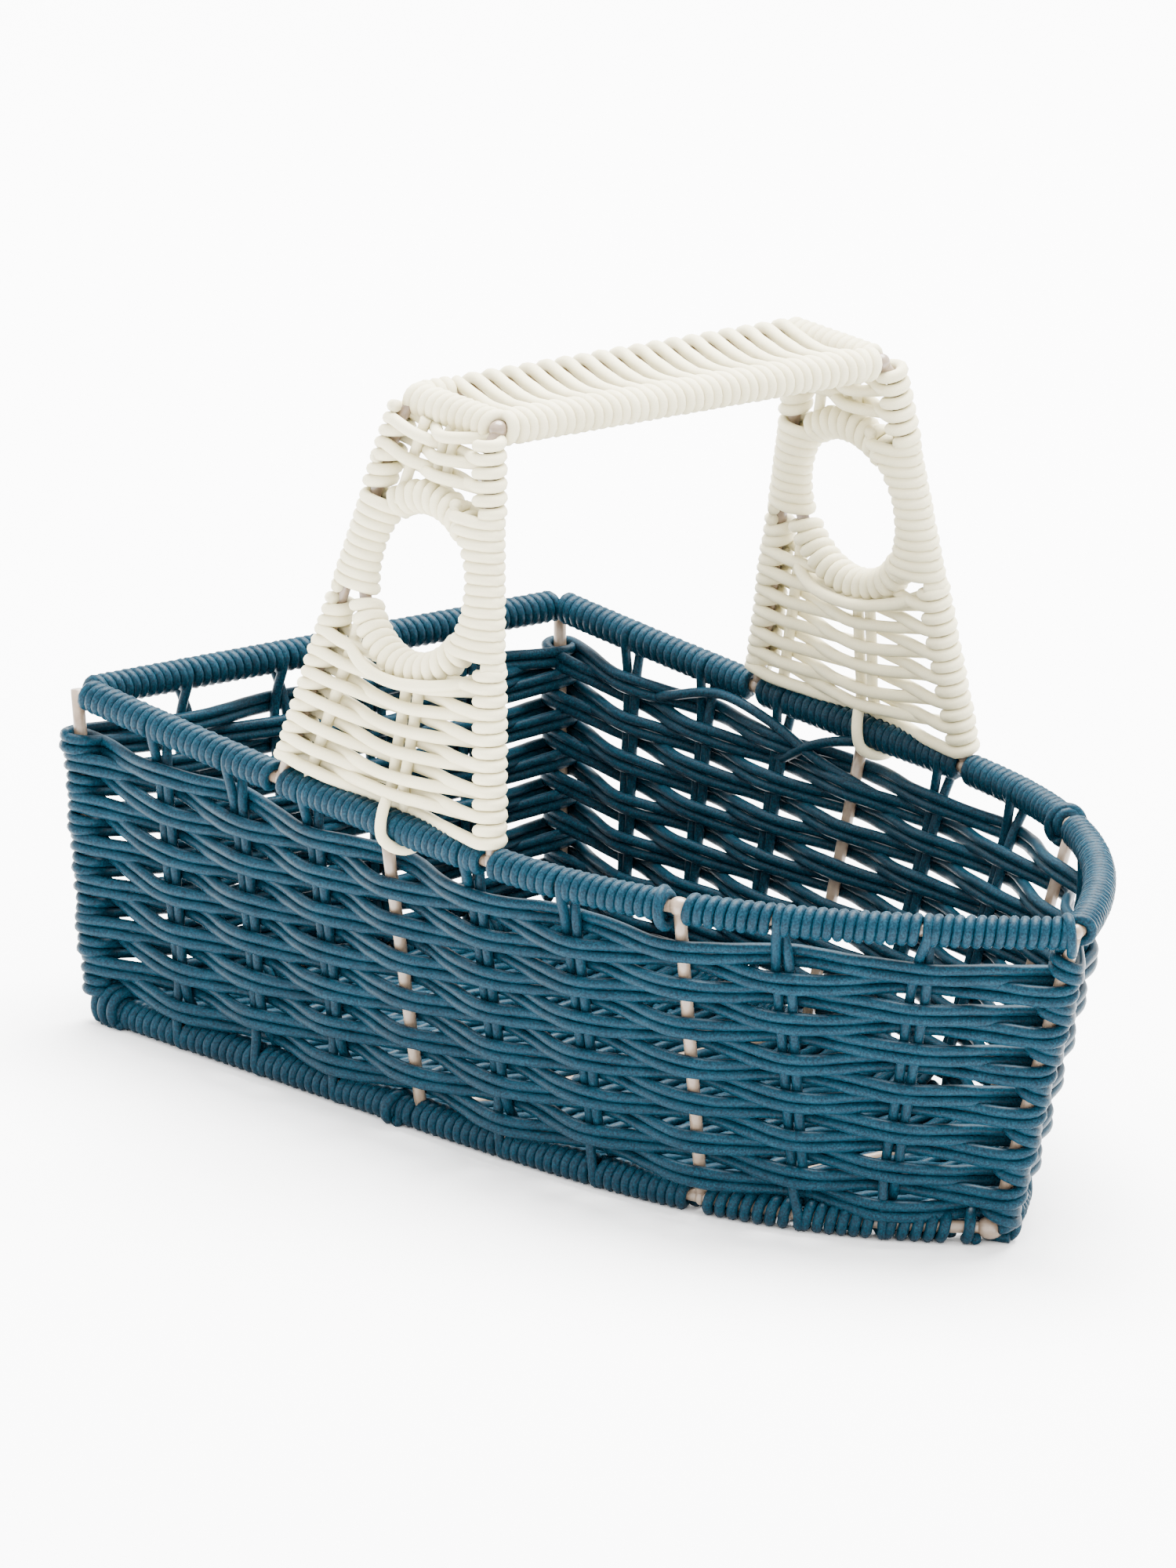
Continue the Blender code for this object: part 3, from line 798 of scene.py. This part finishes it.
def leg_across(end, up):
    """Where the aft or fore leg stands along the hull at a height on the side."""
    share = up / PANEL_LENGTH
    return LEG_FEET[end] + (LEG_TOPS[end] - LEG_FEET[end]) * share


RING_ACROSS = (leg_across("aft", RING_UP) + leg_across("fore", RING_UP)) / 2


def on_ring(angle):
    """Panel points on the porthole ring."""
    across, up = RING_ACROSS + RING_RADIUS * np.cos(angle), RING_UP + RING_RADIUS * np.sin(angle)
    return np.stack([across, up, np.zeros_like(angle)], -1)


def rod_end(end, side):
    """The aft or fore end of a cross rod."""
    return np.array([LEG_TOPS[end] + SHIFT, side * CROSS_ROD_Y, HANDLE_TOP])


class SidePanel:
    """Panel points of one leaning side of the handle: along the hull, up and to starboard."""

    def __init__(self, side):
        self.origin = np.array([SHIFT, side * RIM_WIDTH, RIM_HEIGHT])
        self.up = unit(np.array([0.0, side * (HANDLE_WIDTH - RIM_WIDTH), PANEL_RISE]))
        self.out = np.cross(X, self.up)

    def at(self, points):
        p = np.asarray(points, float)
        return self.origin + p[:, :1] * X + p[:, 1:2] * self.up + p[:, 2:3] * self.out


def handle_wires():
    for end in ("aft", "fore"):
        feet = [rim_line(LEG_FEET[end], side) + Z * 1.5 * MM for side in (-1, 1)]
        heads = [np.array([LEG_TOPS[end] + SHIFT, side * HANDLE_WIDTH, HANDLE_TOP])
                 for side in (-1, 1)]
        route = rounded([feet[0], *heads, feet[1]], {1, 2}, 8 * MM, 9)
        piece = wire(f"{end}_handle_hoop", resample(route, 3 * MM))
        for foot in feet:
            weld_bead(piece, foot - Z * MM, X, 5 * MM, 2.8 * MM)
        piece.build()
    for name, side in SIDES.items():
        ends = [rod_end(end, side) for end in ("aft", "fore")]
        rod = wire(f"cross_rod_{name}", np.linspace(*ends, 10))
        for end in ends:
            weld_bead(rod, end + Y * side * 1.5 * MM, Y, 6 * MM, 2.9 * MM)
        rod.build()
        ring = on_ring(np.linspace(0, 2 * pi, 60, endpoint=False))
        wire(f"porthole_ring_{name}", SidePanel(side).at(ring), closed=True).build()


RING_STRETCHES = ((206.0, 330.0), (52.0, 130.0))        # degrees wound round the ring alone
# Stretches of the legs wound together with the ring: leg, its side of the ring, from, to.
SHARED_STRETCHES = (("aft", -1, 67.0 * MM, 101.0 * MM), ("fore", 1, 58.5 * MM, 105.5 * MM))
# One round about both: which of the two the strand passes, and degrees toward the front.
SHARED_ROUND = (("leg", 90), ("leg", 0), ("leg", -90), ("ring", -90), ("ring", 0), ("ring", 90))


def porthole_winding(name, panel):
    """Turns round the ring alone, below and above, and round ring and leg at the sides."""
    piece = Strands(f"porthole_winding_{name}", CREAM_LOOK,
                    [f"porthole_wrap_{name}_lower", f"porthole_wrap_{name}_upper"])
    for start, end in RING_STRETCHES:
        route = on_ring(np.radians(np.linspace(start, end, 40)))
        wound = wrap(panel.at(route), CREAM_TURN, RING_PITCH, facing(panel.out))
        piece.add(wobble(wound, 0.06 * MM, 12 * MM), CREAM)
    for end, sign, low, high in SHARED_STRETCHES:
        turns = round((high - low) / (CREAM_PITCH * 0.92))
        points = []
        for sixth in range(turns * 6):
            which, swing = SHARED_ROUND[sixth % 6]
            up = low + sixth / 6 * (high - low) / turns
            if which == "leg":
                centre, direction = leg_across(end, up), sign
            else:
                chord = max(0.0, RING_RADIUS ** 2 - (up - RING_UP) ** 2) ** 0.5
                centre, direction = RING_ACROSS + sign * max(chord, 14 * MM), -sign
            reach = direction * CREAM_TURN * cos(radians(swing))
            points.append((centre + reach, up, CREAM_TURN * sin(radians(swing))))
        piece.add(wobble(smooth_curve(panel.at(points), 1.8 * MM), 0.06 * MM, 14 * MM), CREAM)
    piece.build()


def leg_turns(end, top, turns, from_front, pitch=CREAM_PITCH * 1.05):
    """Panel points of a strand that winds down a leg, or up it where the pitch is negative."""
    sign = -1 if end == "aft" else 1
    face = 1 if from_front else -1
    points = []
    for share in np.linspace(0, 1, max(3, int(turns * 8) + 1)):
        angle = face * radians(90.0 - 360.0 * turns * share)
        level = top - share * turns * pitch
        reach = sign * CREAM_TURN * cos(angle)
        points.append((leg_across(end, level) + reach, level, CREAM_TURN * sin(angle)))
    return points


def crossing(start, end, uprights, dip):
    """Points of one way between the legs, in front of the first upright and behind the next.

    The way sags by dip.
    """
    (x0, h0), (x1, h1) = start, end
    points = []
    for upright, front in zip(uprights, (1, -1)):
        share = (upright((h0 + h1) / 2) - x0) / (x1 - x0)
        level = h0 + (h1 - h0) * share - dip * (1 - (2 * share - 1) ** 2)
        unevenness = DRAW.normal(0, 0.25 * MM)
        points.append((x0 + (x1 - x0) * share, level + unevenness, front * PASSING))
    return points


def panel_weave(piece, panel, low, step, dips, leads, top, top_turns, starts_aft, last_way=()):
    """One strand woven up the panel: forward over the aft leg and the slanted stake, under the
    centre stakes and over the fore leg, one more turn there, then back over the centre stakes,
    under the slanted one and behind the aft leg, and one more turn there.

    The landings on the fore leg stand step apart from low; dips are the sags of the ways back;
    leads are how much higher than each landing its strand leaves the aft leg; top is where the
    last way back ends on the aft leg, and last_way gives its points where it needs its own.
    """
    uprights = (slanted_stake, centre_stake)
    pitch = step / 2
    points = []
    if starts_aft:
        points += leg_turns("aft", low + leads[0] - pitch / 2, 0.5, False, -pitch)
    for cycle, (dip, lead) in enumerate(zip(dips, leads)):
        landing = low + step * cycle
        depart = landing + lead
        if cycle or starts_aft:
            points += crossing((leg_across("aft", depart), depart),
                               (leg_across("fore", landing), landing), uprights, 2.3 * MM)
        points += leg_turns("fore", landing, 1.5, True, -pitch)
        leave = landing + 1.45 * pitch
        last = cycle == len(dips) - 1
        arrive = top if last else landing + step + leads[cycle + 1] - 1.5 * pitch
        aft, fore = leg_across("aft", arrive), leg_across("fore", leave)
        if last and last_way:
            points += [(aft + (fore - aft) * share, level * MM, out * MM)
                       for share, level, out in last_way]
        else:
            points += crossing((fore, leave), (aft, arrive), uprights[::-1], dip)
        points += leg_turns("aft", arrive, top_turns if last else 1.5, False, -pitch)
    piece.add(wobble(smooth_curve(panel.at(points), 1.7 * MM), 0.08 * MM, 25 * MM), CREAM)


def centre_stake(_):
    """The middle pair stands straight, so its place is the same at every height."""
    return 2.5 * MM


def slanted_stake(up):
    return leg_across("aft", up) + 11 * MM


def slanted_strand(panel, levels, step):
    """The slanted stake itself through levels in millimetres."""
    points = [(slanted_stake(up * MM), up * MM, 0) for up in levels]
    return smooth_curve(panel.at(points), step)


LOWER_DIPS = np.array((0.5, 2.6, 2.6, 3.3, 3.3, 3.9, 8.5)) * MM
LOWER_LEADS = np.array((3.7, 2.0, 1.4, 1.2, 1.0, 0.8, 0.0)) * MM
UPPER_DIPS = np.array((-1.0, 1.5, 2.5)) * MM
UPPER_LEADS = (3.0 * MM,) * 3
# The last way of the lower weave hangs in front of the porthole winding: share of the way
# from the aft leg, then millimetres up the panel and in front of it.
UNDER_RING = ((0.95, 55.0, -3.6), (0.85, 50.8, 2.4), (0.66, 46.6, 5.8), (0.50, 45.2, 6.6),
              (0.33, 46.5, 6.5), (0.20, 49.8, 4.0), (0.11, 52.6, -2.8))
# The centre stakes in millimetres along the hull, up the panel and in front of it: the part
# both share, the aft one's end round the rim and the fore one's end inside the rim.
CENTRE_STRETCH = ((0, 46, 0), (0, 24, 0), (0.5, 12, 0.5))
RIM_TAIL = ((3.2, 6.0, 4.8), (5.2, 1.5, 7.0), (6.2, -3.0, 6.6), (8.0, -5.4, 4.2),
            (10.0, -6.2, -0.5), (11.0, -4.5, -5.0))
INNER_TAIL = ((0, 4, -3), (0, -1, -6.5))


def side_weaves(name, panel, inward):
    """Both woven parts of a handle side; inward is +1 where panel.out faces into the caddy."""
    lower = Strands(f"side_weave_{name}_lower", CREAM_LOOK,
                    [f"handle_lower_weave_{name}", f"leg_wrap_{name}_aft", f"leg_wrap_{name}_fore"])
    panel_weave(lower, panel, 5.9 * MM, 7.75 * MM, LOWER_DIPS, LOWER_LEADS, 53.5 * MM, 2.5,
                True, UNDER_RING)
    lower.add(slanted_strand(panel, (62, 40, 20, 4), 3 * MM), CREAM * 0.95)
    for beside, tail in ((-2.9 * MM, RIM_TAIL), (2.9 * MM, INNER_TAIL)):
        stake = X * (centre_stake(0) + beside) + np.array(CENTRE_STRETCH + tail) * MM
        lower.add(smooth_curve(panel.at(stake), 1.6 * MM), CREAM * 0.93)
    lower.build()
    upper = Strands(f"side_weave_{name}_upper", CREAM_LOOK, [f"handle_upper_weave_{name}"])
    panel_weave(upper, panel, 104.8 * MM, 8.3 * MM, UPPER_DIPS, UPPER_LEADS, 126.3 * MM, 0.5,
                False)
    upper.add(smooth_curve(panel.at(leg_turns("aft", 111.0 * MM, 2.5, True)), 1.5 * MM), CREAM)
    hanging = np.array([(0, 106, 0), (0, 116, 0), (0, 124, 1.5 * inward), (0, 129, 5 * inward)])
    for beside in (-2.2 * MM, 2.2 * MM):
        stake = X * (centre_stake(0) - 1.5 * MM + beside) + hanging * MM
        upper.add(smooth_curve(panel.at(stake), 3 * MM), CREAM * 0.85)
    upper.add(slanted_strand(panel, (103.5, 112, 120, 127), 2 * MM), CREAM * 0.9)
    upper.build()


def cross_rod_winding(name, side):
    piece = Strands(f"cross_rod_winding_{name}", CREAM_LOOK, [f"cross_rod_wrap_{name}"])
    ends = [rod_end(end, side) - X * 1.5 * MM for end in ("aft", "fore")]
    wound = wrap(np.linspace(*ends, 30), CREAM_TURN, CREAM_PITCH * 0.97, facing(Y * side))
    piece.add(wobble(wound, 0.06 * MM, 12 * MM), CREAM)
    piece.build()


def grip_weave():
    """Grip winding: each round crosses to the aft rod and back, then takes one more turn on the
    fore rod. The bare ends of both rods get turns of their own."""
    piece = Strands("grip_winding", CREAM_LOOK, ["handle_grip_weave"])
    aft, fore = LEG_TOPS["aft"] + SHIFT, LEG_TOPS["fore"] + SHIFT
    half = CROSS_ROD_Y - 1.0 * MM
    slant = 10.0 * MM            # how far to port a crossing lands on the aft rod
    rounds = 19
    r = CREAM_TURN
    cycle = (2 * half - slant - 8 * MM) / (rounds - 1)
    points = []
    for k in range(rounds):
        fore_y = -half + 4 * MM + k * cycle
        aft_y = fore_y + slant
        points += [(aft, aft_y, HANDLE_TOP + r),
                   (aft + 10 * MM, aft_y - slant * 0.22, HANDLE_TOP + r * 0.72),
                   (fore - 13 * MM, fore_y + slant * 0.22, HANDLE_TOP + r * 0.72)]
        for share in np.linspace(0, 1, 11):
            angle = radians(90 - 540 * share)
            stretch = 2.0 if cos(angle) < 0 else 1.0
            points.append((fore + r * cos(angle) * stretch, fore_y + share * cycle * 0.72,
                           HANDLE_TOP + r * sin(angle)))
        points += [(fore - 10 * MM, fore_y + cycle * 0.9, HANDLE_TOP - r),
                   (aft + 9 * MM, aft_y + cycle * 0.75, HANDLE_TOP - r)]
        for share in (0.0, 0.25, 0.5, 0.75):
            angle = radians(-90 - 180 * share)
            points.append((aft + r * cos(angle), aft_y + cycle * (0.85 + 0.15 * share),
                           HANDLE_TOP + r * sin(angle)))
    piece.add(wobble(smooth_curve(points, 1.6 * MM), 0.06 * MM, 14 * MM), CREAM)
    for rod, low, high in ((aft, -half + 0.5 * MM, -half + slant + 2.0 * MM),
                           (fore, half - slant + 2 * MM, half),
                           (fore, -half, -half + 2.6 * MM)):
        route = np.linspace((rod, low, HANDLE_TOP), (rod, high, HANDLE_TOP), 30)
        piece.add(wrap(route, CREAM_TURN, CREAM_PITCH, facing(X)), CREAM)
    piece.build()


# Stage ------------

def stage():
    """A wide pale floor under an even white sky."""
    floor = Nodes("pale_floor")
    tone = floor.ramp(floor.noise(3.0, 2.0), [(0.3, (0.98, 0.98, 0.98)),
                                              (0.7, (0.99, 0.99, 0.99))])
    floor.colour(tone)
    floor.shader.inputs["Roughness"].default_value = 0.9
    floor.shader.inputs["Specular IOR Level"].default_value = 0.1
    mesh = bpy.data.meshes.new("studio_floor")
    reach = 30.0
    corners = [(-reach, -reach, 0), (reach, -reach, 0), (reach, reach, 0), (-reach, reach, 0)]
    mesh.from_pydata(corners, [], [(0, 1, 2, 3)])
    mesh.materials.append(floor.material)
    plane = bpy.data.objects.new("studio_floor", mesh)
    bpy.context.scene.collection.objects.link(plane)
    world = bpy.data.worlds.new("studio")
    world.use_nodes = True
    background = world.node_tree.nodes["Background"]
    background.inputs["Color"].default_value = (1.0, 1.0, 1.0, 1.0)
    background.inputs["Strength"].default_value = 3.9
    bpy.context.scene.world = world


def area_light(name, place, size, power):
    """A round light aimed at the middle of the caddy."""
    light = bpy.data.lights.new(name, "AREA")
    light.shape = "DISK"
    light.size = size
    light.energy = power
    lamp = bpy.data.objects.new(name, light)
    lamp.location = place
    aim = Vector((0.0, 0.0, 0.08)) - Vector(place)
    lamp.rotation_euler = aim.to_track_quat("-Z", "Y").to_euler()
    bpy.context.scene.collection.objects.link(lamp)


def camera():
    """The photo's view, from starboard ahead of the bow; it is tilted by the roll."""
    azimuth, elevation, roll = radians(48.23), radians(16.69), radians(3.24)
    distance = 4.7026
    back = Vector((sin(azimuth) * cos(elevation), -cos(azimuth) * cos(elevation), sin(elevation)))
    level = Vector((cos(azimuth), sin(azimuth), 0.0))
    upright = back.cross(level)
    right = cos(roll) * level + sin(roll) * upright
    up = -sin(roll) * level + cos(roll) * upright
    target = Vector((SHIFT, -0.0143, 0.0959 + BASE_HEIGHT))
    data = bpy.data.cameras.new("photo_view")
    data.lens = 342.5
    data.shift_x = -0.0038
    data.shift_y = 0.0032
    data.clip_end = 100.0
    view = bpy.data.objects.new("photo_view", data)
    turned = Matrix((right, up, back)).transposed().to_4x4()
    view.matrix_world = Matrix.Translation(target + back * distance) @ turned
    bpy.context.scene.collection.objects.link(view)
    bpy.context.scene.camera = view


# Build ------------

frame_wires()
handle_wires()
wall_weave("starboard", 0, BOW_COLUMN, 1, False)
wall_weave("port", PORT_CORNER, BOW_COLUMN, 0, True)
wall_weave("stern", COLUMNS, PORT_CORNER, 0, True)
stakes()
port_ties()
ring_wraps("rim", rim_line, RIM_TABLE, RIM_STRETCHES, RIM_TRIMS, RIM_STRAND, RIM_TURN,
           (RIM_PITCH,) * 4)
ring_wraps("base", base_line, BASE_TABLE, BASE_STRETCHES, BASE_TRIMS, BLUE, BLUE_TURN,
           BASE_PITCHES)
floor_weave()
for side_name, side_sign in SIDES.items():
    side_panel = SidePanel(side_sign)
    porthole_winding(side_name, side_panel)
    side_weaves(side_name, side_panel, side_sign)
    cross_rod_winding(side_name, side_sign)
grip_weave()
stage()
area_light("softbox", (-0.6, 0.9, 3.3), 3.2, 1150.0)
camera()
